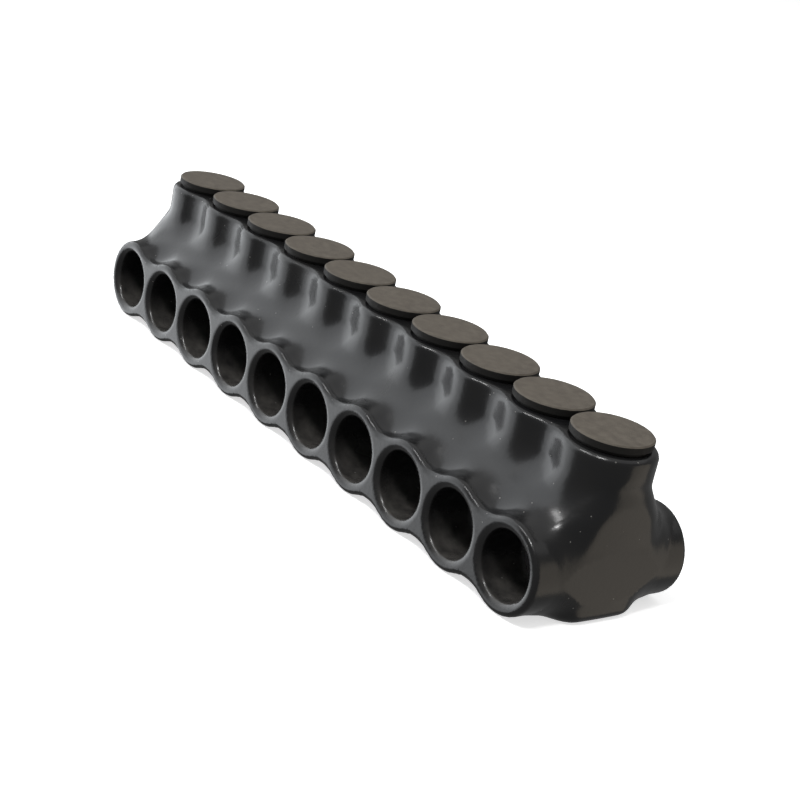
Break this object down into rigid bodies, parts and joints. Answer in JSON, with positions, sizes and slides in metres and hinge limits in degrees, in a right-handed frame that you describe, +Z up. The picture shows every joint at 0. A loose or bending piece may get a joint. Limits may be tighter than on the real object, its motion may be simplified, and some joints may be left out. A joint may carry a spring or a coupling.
{
  "type": "power distribution block",
  "caption": "Insulated double-entry wire connector block: a bored bar in a glossy vinyl jacket with wire ports on both long sides, set screws and push-in access caps.",
  "frame": {"origin": "middle of the underside, below the centre of the row of ports", "axes": "+X along the row of ports, -Y towards the front mouths, +Z up through the caps"},
  "size_m": [0.2428, 0.0546, 0.0504],
  "materials": {
    "jacket": "glossy moulded black vinyl",
    "bar": "tin plated, drawn and drilled",
    "screw": "tin plated, turned",
    "cap": "matte warm grey-black moulded"
  },
  "bodies": {
    "block": {"insulating_jacket": "jacket", "connector_bar": "bar"},
    "screw_01": {"set_screw_01": "screw"},
    "cap_01": {"access_cap_01": "cap"},
    "screw_02": {"set_screw_02": "screw"},
    "cap_02": {"access_cap_02": "cap"},
    "screw_03": {"set_screw_03": "screw"},
    "cap_03": {"access_cap_03": "cap"},
    "screw_04": {"set_screw_04": "screw"},
    "cap_04": {"access_cap_04": "cap"},
    "screw_05": {"set_screw_05": "screw"},
    "cap_05": {"access_cap_05": "cap"},
    "screw_06": {"set_screw_06": "screw"},
    "cap_06": {"access_cap_06": "cap"},
    "screw_07": {"set_screw_07": "screw"},
    "cap_07": {"access_cap_07": "cap"},
    "screw_08": {"set_screw_08": "screw"},
    "cap_08": {"access_cap_08": "cap"},
    "screw_09": {"set_screw_09": "screw"},
    "cap_09": {"access_cap_09": "cap"},
    "screw_10": {"set_screw_10": "screw"},
    "cap_10": {"access_cap_10": "cap"}
  },
  "joints": [
    {"name": "screw_01_drive", "type": "slide", "parent": "block", "child": "screw_01", "axis": [0, 0, -1], "range_m": [0, 0.011]},
    {"name": "cap_01_pull", "type": "slide", "parent": "block", "child": "cap_01", "axis": [0, 0, 1], "range_m": [0, 0.012]},
    {"name": "screw_02_drive", "type": "slide", "parent": "block", "child": "screw_02", "axis": [0, 0, -1], "range_m": [0, 0.011]},
    {"name": "cap_02_pull", "type": "slide", "parent": "block", "child": "cap_02", "axis": [0, 0, 1], "range_m": [0, 0.012]},
    {"name": "screw_03_drive", "type": "slide", "parent": "block", "child": "screw_03", "axis": [0, 0, -1], "range_m": [0, 0.011]},
    {"name": "cap_03_pull", "type": "slide", "parent": "block", "child": "cap_03", "axis": [0, 0, 1], "range_m": [0, 0.012]},
    {"name": "screw_04_drive", "type": "slide", "parent": "block", "child": "screw_04", "axis": [0, 0, -1], "range_m": [0, 0.011]},
    {"name": "cap_04_pull", "type": "slide", "parent": "block", "child": "cap_04", "axis": [0, 0, 1], "range_m": [0, 0.012]},
    {"name": "screw_05_drive", "type": "slide", "parent": "block", "child": "screw_05", "axis": [0, 0, -1], "range_m": [0, 0.011]},
    {"name": "cap_05_pull", "type": "slide", "parent": "block", "child": "cap_05", "axis": [0, 0, 1], "range_m": [0, 0.012]},
    {"name": "screw_06_drive", "type": "slide", "parent": "block", "child": "screw_06", "axis": [0, 0, -1], "range_m": [0, 0.011]},
    {"name": "cap_06_pull", "type": "slide", "parent": "block", "child": "cap_06", "axis": [0, 0, 1], "range_m": [0, 0.012]},
    {"name": "screw_07_drive", "type": "slide", "parent": "block", "child": "screw_07", "axis": [0, 0, -1], "range_m": [0, 0.011]},
    {"name": "cap_07_pull", "type": "slide", "parent": "block", "child": "cap_07", "axis": [0, 0, 1], "range_m": [0, 0.012]},
    {"name": "screw_08_drive", "type": "slide", "parent": "block", "child": "screw_08", "axis": [0, 0, -1], "range_m": [0, 0.011]},
    {"name": "cap_08_pull", "type": "slide", "parent": "block", "child": "cap_08", "axis": [0, 0, 1], "range_m": [0, 0.012]},
    {"name": "screw_09_drive", "type": "slide", "parent": "block", "child": "screw_09", "axis": [0, 0, -1], "range_m": [0, 0.011]},
    {"name": "cap_09_pull", "type": "slide", "parent": "block", "child": "cap_09", "axis": [0, 0, 1], "range_m": [0, 0.012]},
    {"name": "screw_10_drive", "type": "slide", "parent": "block", "child": "screw_10", "axis": [0, 0, -1], "range_m": [0, 0.011]},
    {"name": "cap_10_pull", "type": "slide", "parent": "block", "child": "cap_10", "axis": [0, 0, 1], "range_m": [0, 0.012]}
  ]
}
